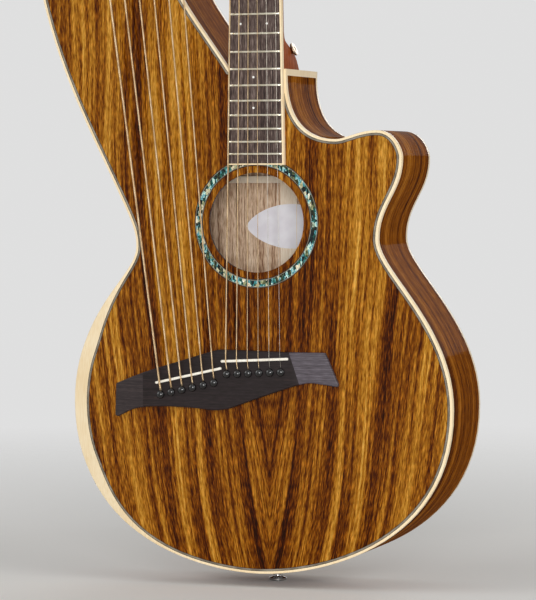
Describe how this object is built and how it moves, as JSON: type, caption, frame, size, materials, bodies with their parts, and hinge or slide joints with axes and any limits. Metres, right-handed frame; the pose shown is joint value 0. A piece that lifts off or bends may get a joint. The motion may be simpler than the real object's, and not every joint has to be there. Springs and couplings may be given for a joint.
{
  "type": "harp guitar",
  "caption": "Acoustic cutaway harp guitar with a hollow bass arm that carries free sub-bass strings beside the fretted neck, with turning worm-gear tuners.",
  "frame": {"origin": "centre of the outer face of the end pin jack, at the tail of the body under the neck's centre line", "axes": "+Z runs along the neck from the tail to the headstock, +Y runs from the soundboard into the body and out of the back, +X points to the treble side with the cutaway"},
  "size_m": [0.4466, 0.1214, 1.063],
  "materials": {
    "striped_wood": "high-gloss lacquer over striped golden and dark brown tropical wood",
    "cream_binding": "glossy cream binding",
    "abalone": "polished blue-green shell under lacquer",
    "mahogany": "satin red-brown wood",
    "spruce": "bare pale softwood",
    "dark_wood": "satin near-black wood with glossy black pins",
    "fretboard_wood": "streaky dark brown wood with cream-silver frets",
    "bone": "polished white bone",
    "chrome": "bright chrome plate",
    "wound_bronze": "bronze winding with fine ribs",
    "plain_steel": "bright plain steel wire"
  },
  "bodies": {
    "instrument": {"tuner_plate_bass": "chrome", "tuner_plate_treble": "chrome", "strap_button": "chrome", "soundboard": "striped_wood", "back_plate": "striped_wood", "treble_side": "striped_wood", "bass_side": "striped_wood", "top_binding": "cream_binding", "back_binding": "cream_binding", "rosette": "abalone", "neck_block": "mahogany", "tail_block": "mahogany", "top_bracing": "spruce", "back_bracing": "spruce", "bridge": "dark_wood", "main_saddle": "bone", "harp_saddle": "bone", "neck": "mahogany", "fretboard": "fretboard_wood", "main_nut": "bone", "harp_nut": "bone", "harp_head": "mahogany", "endpin_jack": "chrome", "tuner_plate_harp": "chrome", "string_main_1": "wound_bronze", "string_harp_1": "wound_bronze", "string_main_2": "wound_bronze", "string_harp_2": "wound_bronze", "string_main_3": "wound_bronze", "string_harp_3": "wound_bronze", "string_main_4": "wound_bronze", "string_harp_4": "wound_bronze", "string_main_5": "plain_steel", "string_harp_5": "wound_bronze", "string_main_6": "plain_steel", "string_harp_6": "wound_bronze"},
    "knob_main_1": {"knob_main_1": "chrome"},
    "post_main_1": {"post_main_1": "chrome"},
    "knob_main_2": {"knob_main_2": "chrome"},
    "post_main_2": {"post_main_2": "chrome"},
    "knob_main_3": {"knob_main_3": "chrome"},
    "post_main_3": {"post_main_3": "chrome"},
    "knob_main_4": {"knob_main_4": "chrome"},
    "post_main_4": {"post_main_4": "chrome"},
    "knob_main_5": {"knob_main_5": "chrome"},
    "post_main_5": {"post_main_5": "chrome"},
    "knob_main_6": {"knob_main_6": "chrome"},
    "post_main_6": {"post_main_6": "chrome"},
    "knob_harp_1": {"knob_harp_1": "chrome"},
    "post_harp_1": {"post_harp_1": "chrome"},
    "knob_harp_2": {"knob_harp_2": "chrome"},
    "post_harp_2": {"post_harp_2": "chrome"},
    "knob_harp_3": {"knob_harp_3": "chrome"},
    "post_harp_3": {"post_harp_3": "chrome"},
    "knob_harp_4": {"knob_harp_4": "chrome"},
    "post_harp_4": {"post_harp_4": "chrome"},
    "knob_harp_5": {"knob_harp_5": "chrome"},
    "post_harp_5": {"post_harp_5": "chrome"},
    "knob_harp_6": {"knob_harp_6": "chrome"},
    "post_harp_6": {"post_harp_6": "chrome"}
  },
  "joints": [
    {"name": "knob_main_1_turn", "type": "hinge", "parent": "instrument", "child": "knob_main_1", "pos_m": [-0.0215, -0.03389, 0.90881], "axis": [-1, 0, 0], "continuous": true},
    {"name": "post_main_1_turn", "type": "hinge", "parent": "instrument", "child": "post_main_1", "pos_m": [-0.0215, -0.03674, 0.91786], "axis": [0, -0.9703, 0.2419], "continuous": true},
    {"name": "knob_main_2_turn", "type": "hinge", "parent": "instrument", "child": "knob_main_2", "pos_m": [-0.0215, -0.02535, 0.94306], "axis": [-1, 0, 0], "continuous": true},
    {"name": "post_main_2_turn", "type": "hinge", "parent": "instrument", "child": "post_main_2", "pos_m": [-0.0215, -0.0282, 0.95211], "axis": [0, -0.9703, 0.2419], "continuous": true},
    {"name": "knob_main_3_turn", "type": "hinge", "parent": "instrument", "child": "knob_main_3", "pos_m": [-0.0215, -0.01681, 0.97731], "axis": [-1, 0, 0], "continuous": true},
    {"name": "post_main_3_turn", "type": "hinge", "parent": "instrument", "child": "post_main_3", "pos_m": [-0.0215, -0.01966, 0.98637], "axis": [0, -0.9703, 0.2419], "continuous": true},
    {"name": "knob_main_4_turn", "type": "hinge", "parent": "instrument", "child": "knob_main_4", "pos_m": [0.0215, -0.01681, 0.97731], "axis": [1, 0, 0], "continuous": true},
    {"name": "post_main_4_turn", "type": "hinge", "parent": "instrument", "child": "post_main_4", "pos_m": [0.0215, -0.01966, 0.98637], "axis": [0, -0.9703, 0.2419], "continuous": true},
    {"name": "knob_main_5_turn", "type": "hinge", "parent": "instrument", "child": "knob_main_5", "pos_m": [0.0215, -0.02535, 0.94306], "axis": [1, 0, 0], "continuous": true},
    {"name": "post_main_5_turn", "type": "hinge", "parent": "instrument", "child": "post_main_5", "pos_m": [0.0215, -0.0282, 0.95211], "axis": [0, -0.9703, 0.2419], "continuous": true},
    {"name": "knob_main_6_turn", "type": "hinge", "parent": "instrument", "child": "knob_main_6", "pos_m": [0.0215, -0.03389, 0.90881], "axis": [1, 0, 0], "continuous": true},
    {"name": "post_main_6_turn", "type": "hinge", "parent": "instrument", "child": "post_main_6", "pos_m": [0.0215, -0.03674, 0.91786], "axis": [0, -0.9703, 0.2419], "continuous": true},
    {"name": "knob_harp_1_turn", "type": "hinge", "parent": "instrument", "child": "knob_harp_1", "pos_m": [-0.21002, -0.03505, 0.93274], "axis": [-0.6157, 0, 0.788], "continuous": true},
    {"name": "post_harp_1_turn", "type": "hinge", "parent": "instrument", "child": "post_harp_1", "pos_m": [-0.20364, -0.04, 0.93772], "axis": [0, -1, 0], "continuous": true},
    {"name": "knob_harp_2_turn", "type": "hinge", "parent": "instrument", "child": "knob_harp_2", "pos_m": [-0.19032, -0.03505, 0.94813], "axis": [-0.6157, 0, 0.788], "continuous": true},
    {"name": "post_harp_2_turn", "type": "hinge", "parent": "instrument", "child": "post_harp_2", "pos_m": [-0.18394, -0.04, 0.95311], "axis": [0, -1, 0], "continuous": true},
    {"name": "knob_harp_3_turn", "type": "hinge", "parent": "instrument", "child": "knob_harp_3", "pos_m": [-0.17062, -0.03505, 0.96352], "axis": [-0.6157, 0, 0.788], "continuous": true},
    {"name": "post_harp_3_turn", "type": "hinge", "parent": "instrument", "child": "post_harp_3", "pos_m": [-0.16424, -0.04, 0.96851], "axis": [0, -1, 0], "continuous": true},
    {"name": "knob_harp_4_turn", "type": "hinge", "parent": "instrument", "child": "knob_harp_4", "pos_m": [-0.15092, -0.03505, 0.97891], "axis": [-0.6157, 0, 0.788], "continuous": true},
    {"name": "post_harp_4_turn", "type": "hinge", "parent": "instrument", "child": "post_harp_4", "pos_m": [-0.14454, -0.04, 0.9839], "axis": [0, -1, 0], "continuous": true},
    {"name": "knob_harp_5_turn", "type": "hinge", "parent": "instrument", "child": "knob_harp_5", "pos_m": [-0.13122, -0.03505, 0.9943], "axis": [-0.6157, 0, 0.788], "continuous": true},
    {"name": "post_harp_5_turn", "type": "hinge", "parent": "instrument", "child": "post_harp_5", "pos_m": [-0.12484, -0.04, 0.99929], "axis": [0, -1, 0], "continuous": true},
    {"name": "knob_harp_6_turn", "type": "hinge", "parent": "instrument", "child": "knob_harp_6", "pos_m": [-0.11152, -0.03505, 1.0097], "axis": [-0.6157, 0, 0.788], "continuous": true},
    {"name": "post_harp_6_turn", "type": "hinge", "parent": "instrument", "child": "post_harp_6", "pos_m": [-0.10514, -0.04, 1.01468], "axis": [0, -1, 0], "continuous": true}
  ],
  "couplings": [
    {"joint": "post_main_1_turn", "follows": "knob_main_1_turn", "ratio": 0.071429},
    {"joint": "post_main_2_turn", "follows": "knob_main_2_turn", "ratio": 0.071429},
    {"joint": "post_main_3_turn", "follows": "knob_main_3_turn", "ratio": 0.071429},
    {"joint": "post_main_4_turn", "follows": "knob_main_4_turn", "ratio": -0.071429},
    {"joint": "post_main_5_turn", "follows": "knob_main_5_turn", "ratio": -0.071429},
    {"joint": "post_main_6_turn", "follows": "knob_main_6_turn", "ratio": -0.071429},
    {"joint": "post_harp_1_turn", "follows": "knob_harp_1_turn", "ratio": 0.071429},
    {"joint": "post_harp_2_turn", "follows": "knob_harp_2_turn", "ratio": 0.071429},
    {"joint": "post_harp_3_turn", "follows": "knob_harp_3_turn", "ratio": 0.071429},
    {"joint": "post_harp_4_turn", "follows": "knob_harp_4_turn", "ratio": 0.071429},
    {"joint": "post_harp_5_turn", "follows": "knob_harp_5_turn", "ratio": 0.071429},
    {"joint": "post_harp_6_turn", "follows": "knob_harp_6_turn", "ratio": 0.071429}
  ]
}
